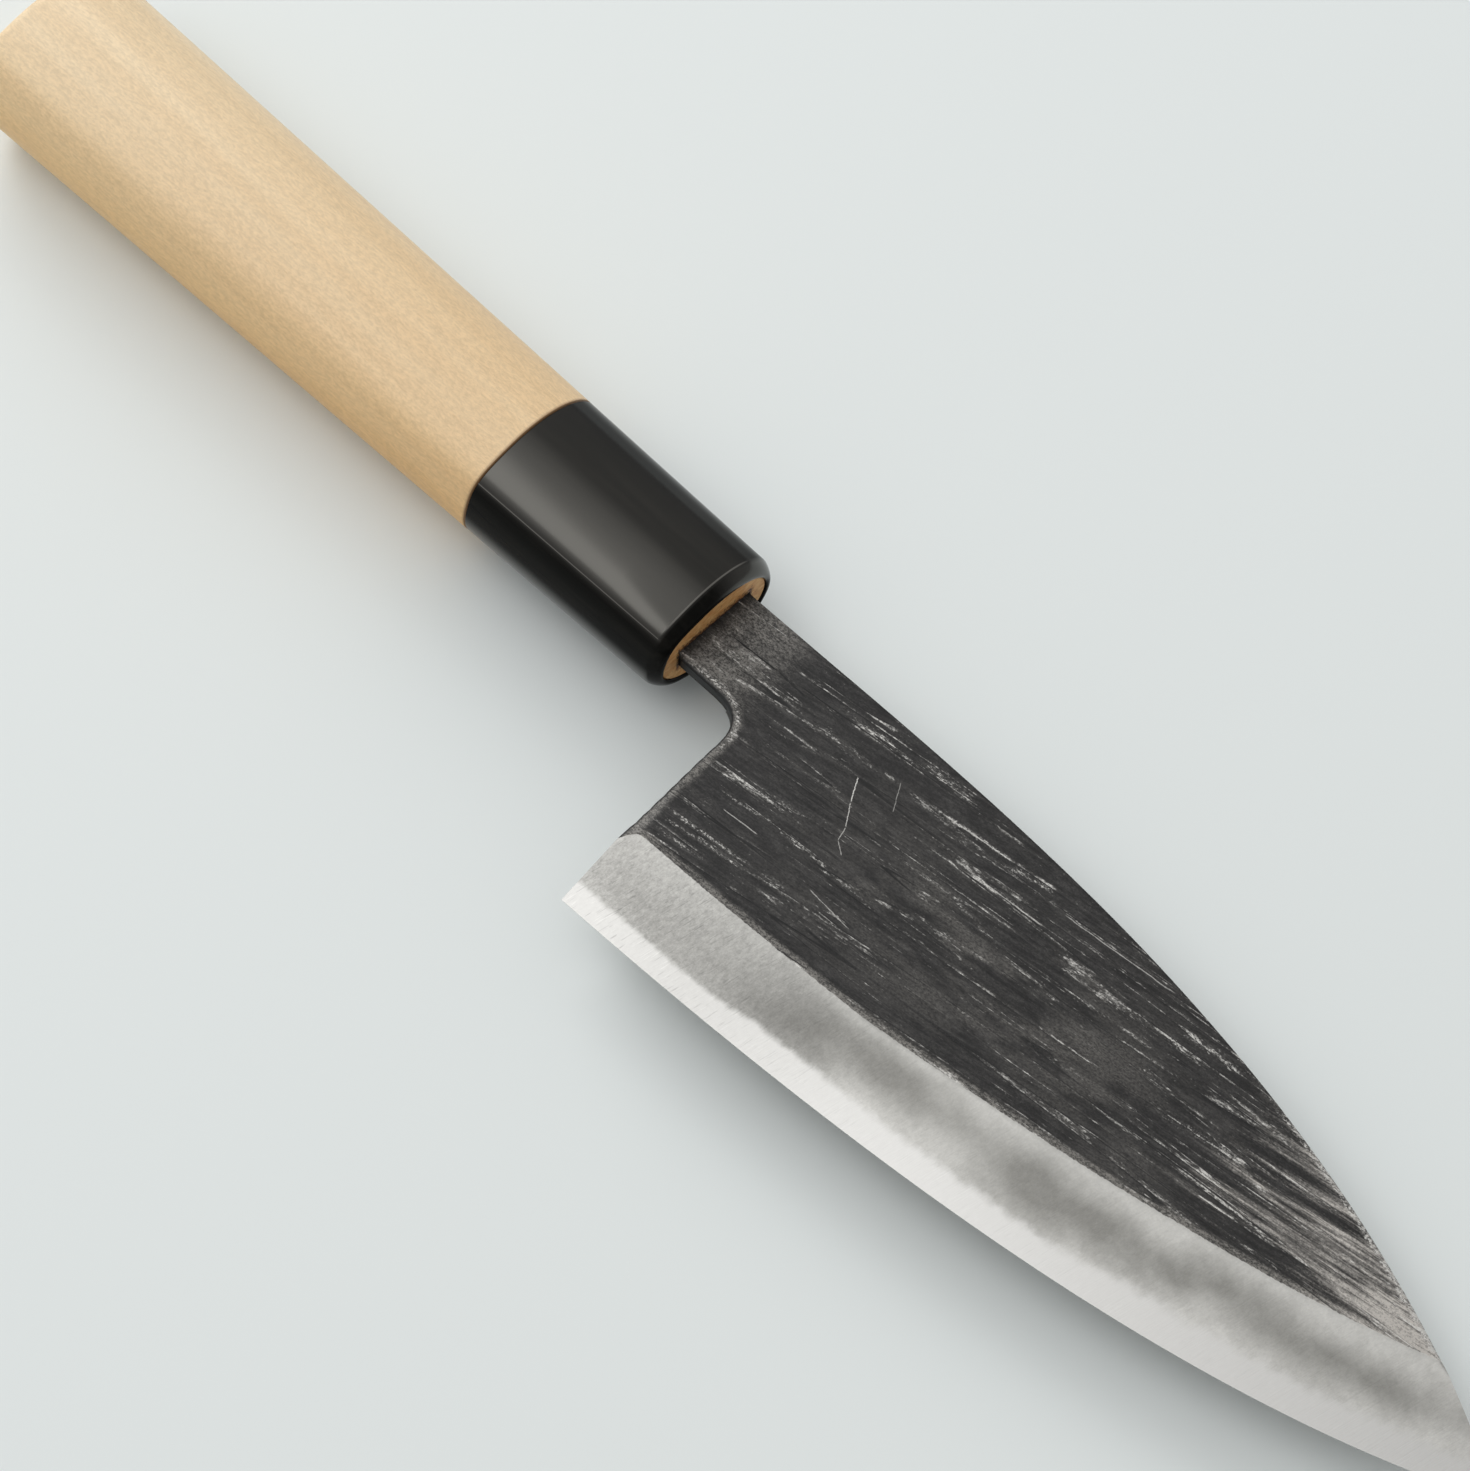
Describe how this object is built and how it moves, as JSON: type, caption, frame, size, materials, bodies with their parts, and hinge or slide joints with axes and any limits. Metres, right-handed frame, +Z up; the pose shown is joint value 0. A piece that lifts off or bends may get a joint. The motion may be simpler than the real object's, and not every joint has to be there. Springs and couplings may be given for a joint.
{
  "type": "ajikiri knife",
  "caption": "Small single-bevel fish knife with a forge-black blade, a welded edge steel layer, a black ferrule and a pale wooden handle with a soft ridge.",
  "frame": {"origin": "middle of the knife's box seen from above, at the lowest point of the handle as the knife lies on its left side", "axes": "+X along the handle from the butt to the tip, +Y from the cutting edge to the spine, +Z up out of the blade's right face"},
  "size_m": [0.2446, 0.0488, 0.0194],
  "materials": {
    "forge_black_iron": "black forge scale with worn streaks above the bevel line, bare ground iron below it",
    "ground_edge_steel": "satin ground steel, bright along the cutting edge",
    "black_horn": "polished black horn or resin",
    "pale_magnolia": "smooth unvarnished pale magnolia wood"
  },
  "bodies": {
    "root": {"soft_iron_body": "forge_black_iron", "edge_steel": "ground_edge_steel", "ferrule": "black_horn", "handle": "pale_magnolia"}
  },
  "joints": []
}
